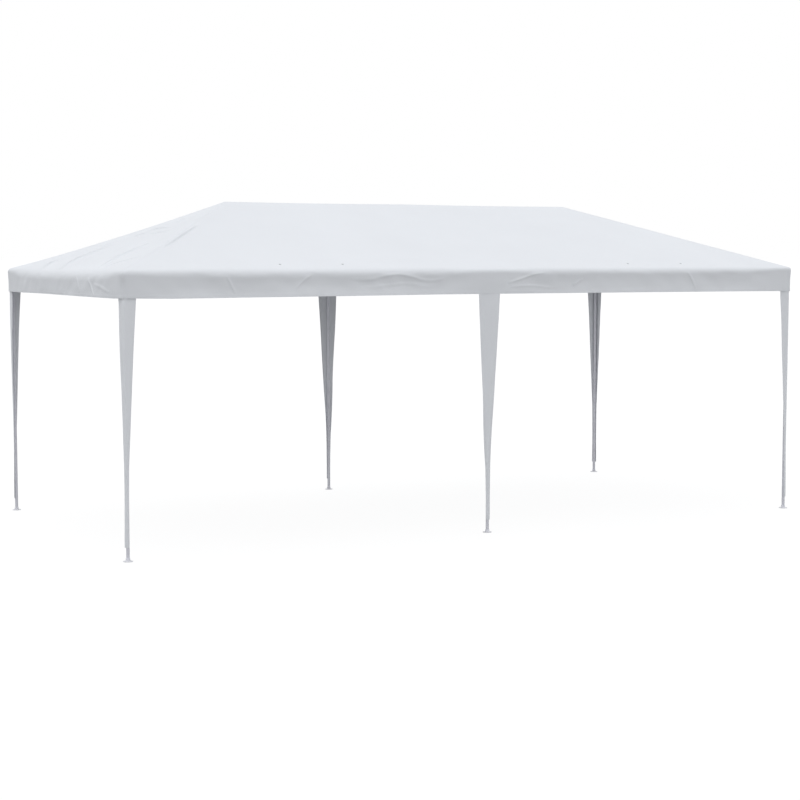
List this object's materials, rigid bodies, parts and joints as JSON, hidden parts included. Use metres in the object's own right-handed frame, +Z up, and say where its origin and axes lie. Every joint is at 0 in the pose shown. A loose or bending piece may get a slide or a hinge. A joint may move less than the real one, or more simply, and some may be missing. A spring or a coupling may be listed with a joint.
{
  "type": "party tent",
  "caption": "Long hip-roofed party tent with open sides: white sheet roof with a valance on a push-fit tube frame, tapered covers down its legs and round foot plates.",
  "frame": {"origin": "on the ground under the middle of the roof", "axes": "+X along the length of the tent, +Y to the back, +Z up"},
  "size_m": [5.95, 2.99, 2.5969],
  "materials": {
    "canopy_sheet": "white woven polyethylene sheet, laminated, slightly glossy, lets some light through",
    "leg_cover_sheet": "the same white woven sheet in a single tapered strip",
    "frame_steel": "white powder coating on thin steel tube",
    "connector_plastic": "off-white moulded plastic, satin",
    "foot_plastic": "off-white moulded plastic, satin, a little dusty at the rim",
    "fastener_metal": "zinc-plated steel of spring buttons, screws and eyelets"
  },
  "bodies": {
    "root": {"leg_pole_front_left": "frame_steel", "foot_front_left": "foot_plastic", "leg_cover_front_left": "leg_cover_sheet", "leg_pole_front_middle": "frame_steel", "foot_front_middle": "foot_plastic", "leg_cover_front_middle": "leg_cover_sheet", "leg_pole_front_right": "frame_steel", "foot_front_right": "foot_plastic", "leg_cover_front_right": "leg_cover_sheet", "leg_pole_back_left": "frame_steel", "foot_back_left": "foot_plastic", "leg_cover_back_left": "leg_cover_sheet", "leg_pole_back_middle": "frame_steel", "foot_back_middle": "foot_plastic", "leg_cover_back_middle": "leg_cover_sheet", "leg_pole_back_right": "frame_steel", "foot_back_right": "foot_plastic", "leg_cover_back_right": "leg_cover_sheet", "side_connector_front": "connector_plastic", "middle_rafter_front": "frame_steel", "corner_connector_front_left": "connector_plastic", "eave_tube_front_left": "frame_steel", "hip_rafter_front_left": "frame_steel", "corner_connector_front_right": "connector_plastic", "eave_tube_front_right": "frame_steel", "hip_rafter_front_right": "frame_steel", "side_connector_back": "connector_plastic", "middle_rafter_back": "frame_steel", "corner_connector_back_left": "connector_plastic", "eave_tube_back_left": "frame_steel", "hip_rafter_back_left": "frame_steel", "corner_connector_back_right": "connector_plastic", "eave_tube_back_right": "frame_steel", "hip_rafter_back_right": "frame_steel", "eave_tube_left": "frame_steel", "ridge_connector_left": "connector_plastic", "ridge_tube_left": "frame_steel", "eave_tube_right": "frame_steel", "ridge_connector_right": "connector_plastic", "ridge_tube_right": "frame_steel", "ridge_connector_middle": "connector_plastic", "roof_front": "canopy_sheet", "valance_front": "canopy_sheet", "roof_right": "canopy_sheet", "valance_right": "canopy_sheet", "roof_back": "canopy_sheet", "valance_back": "canopy_sheet", "roof_left": "canopy_sheet", "valance_left": "canopy_sheet"}
  },
  "joints": []
}
